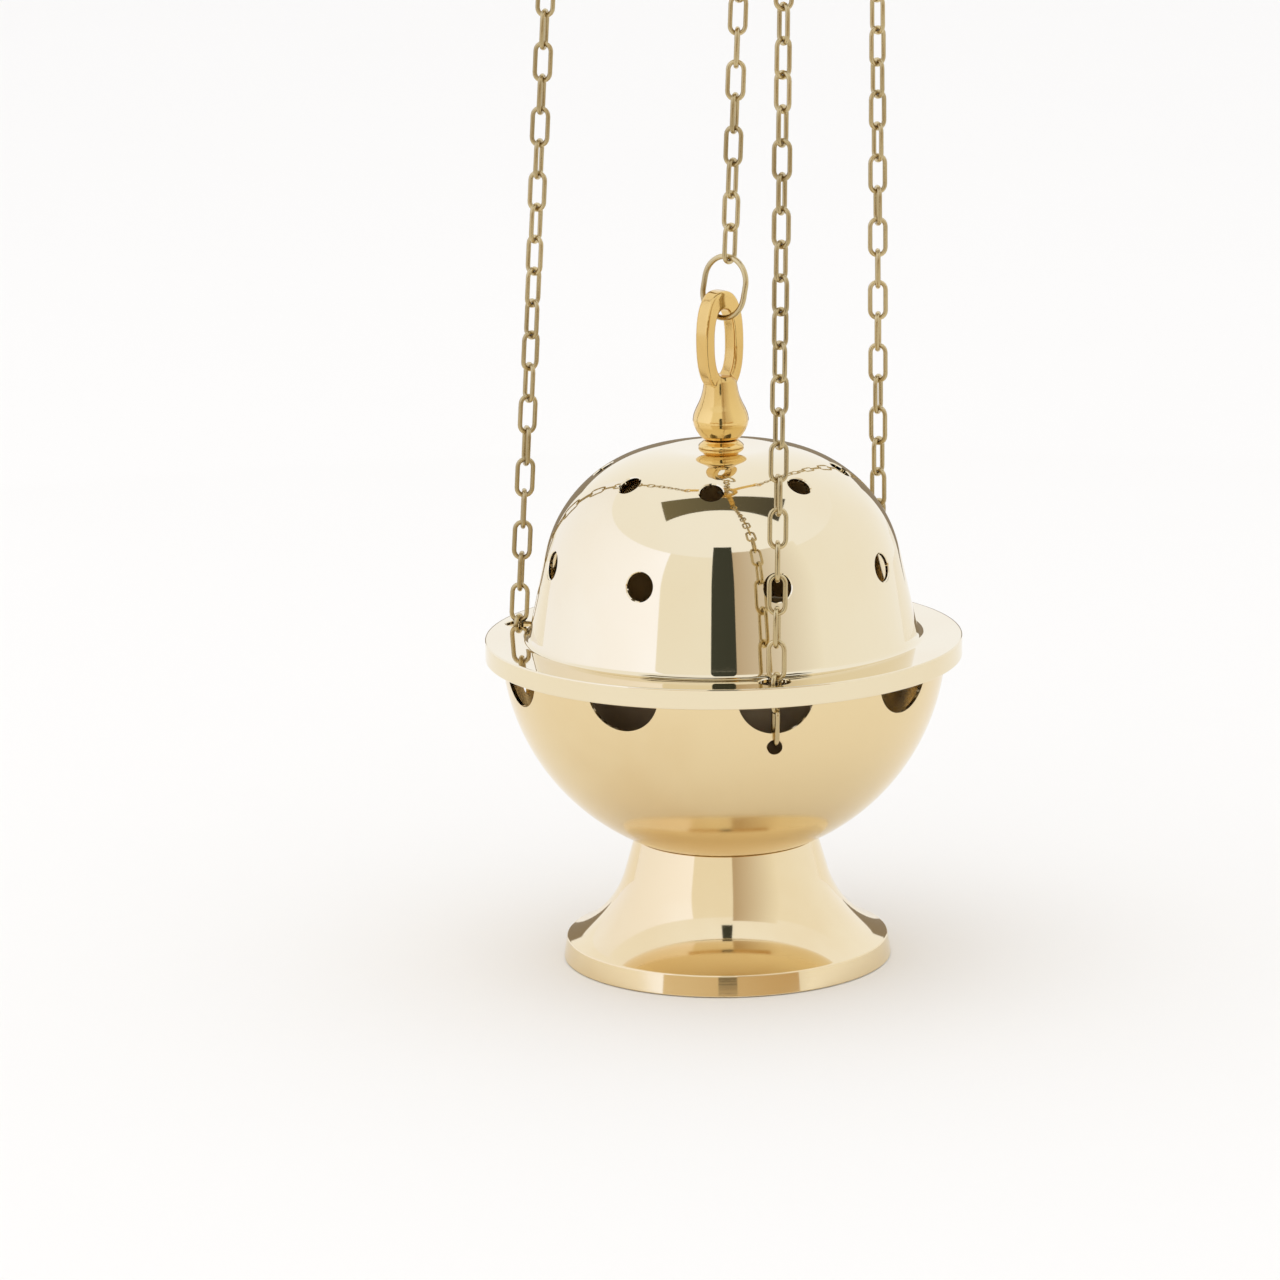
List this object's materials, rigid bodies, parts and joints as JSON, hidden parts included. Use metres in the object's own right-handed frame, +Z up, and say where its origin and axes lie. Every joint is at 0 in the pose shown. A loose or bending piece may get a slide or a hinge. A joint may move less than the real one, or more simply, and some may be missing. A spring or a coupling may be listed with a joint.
{
  "type": "hanging thurible censer",
  "caption": "Brass hanging thurible: round bowl on a flared foot, pierced domed lid on chains, spreader and grip ring.",
  "frame": {"origin": "top of the hole in the grip ring, the point where the thurible hangs", "axes": "+Z up through the swivel; the bowl hangs below, its axis upright; -Y is the front"},
  "size_m": [0.127, 0.127, 0.4174],
  "materials": {
    "pale_brass": "polished",
    "deep_brass": "polished cast",
    "dull_brass": "aged wire",
    "cup_brass": "heat-darkened",
    "steel": "zinc plated"
  },
  "bodies": {
    "grip": {"grip_ring": "deep_brass"},
    "eye": {"swivel_eye": "deep_brass", "swivel_washer": "pale_brass", "swivel_nut": "steel"},
    "hanger": {"stirrup": "deep_brass", "stirrup_rivets": "pale_brass", "spreader": "deep_brass", "guide_bush": "pale_brass", "spreader_rings": "dull_brass", "chain_front": "dull_brass", "chain_right": "dull_brass", "chain_left": "dull_brass", "bowl": "pale_brass", "foot": "pale_brass", "foot_screw": "steel", "foot_washers": "pale_brass", "foot_nut": "steel"},
    "lid": {"lid": "pale_brass", "finial_collar": "deep_brass", "finial": "deep_brass", "finial_washer": "pale_brass", "finial_nut": "steel", "jump_ring": "dull_brass", "lid_chain": "dull_brass"},
    "pull": {"pull_ring": "deep_brass"},
    "cup": {"coal_cup": "cup_brass"}
  },
  "joints": [
    {"name": "swing", "type": "hinge", "parent": "grip", "child": "eye", "pos_m": [0, 0, -0.038], "axis": [1, 0, 0], "range_deg": [-75, 75]},
    {"name": "swivel", "type": "hinge", "parent": "eye", "child": "hanger", "pos_m": [0, 0, -0.05555], "axis": [0, 0, 1], "continuous": true},
    {"name": "lid_lift", "type": "slide", "parent": "hanger", "child": "lid", "axis": [0.0294, 0, 0.9996], "range_m": [0, 0.045]},
    {"name": "pull_ring_swing", "type": "hinge", "parent": "lid", "child": "pull", "pos_m": [0.00208, 0, -0.12103], "axis": [0, 1, 0], "range_deg": [-45, 45]},
    {"name": "cup_lift", "type": "slide", "parent": "hanger", "child": "cup", "axis": [0, 0, 1], "range_m": [0, 0.02]}
  ]
}
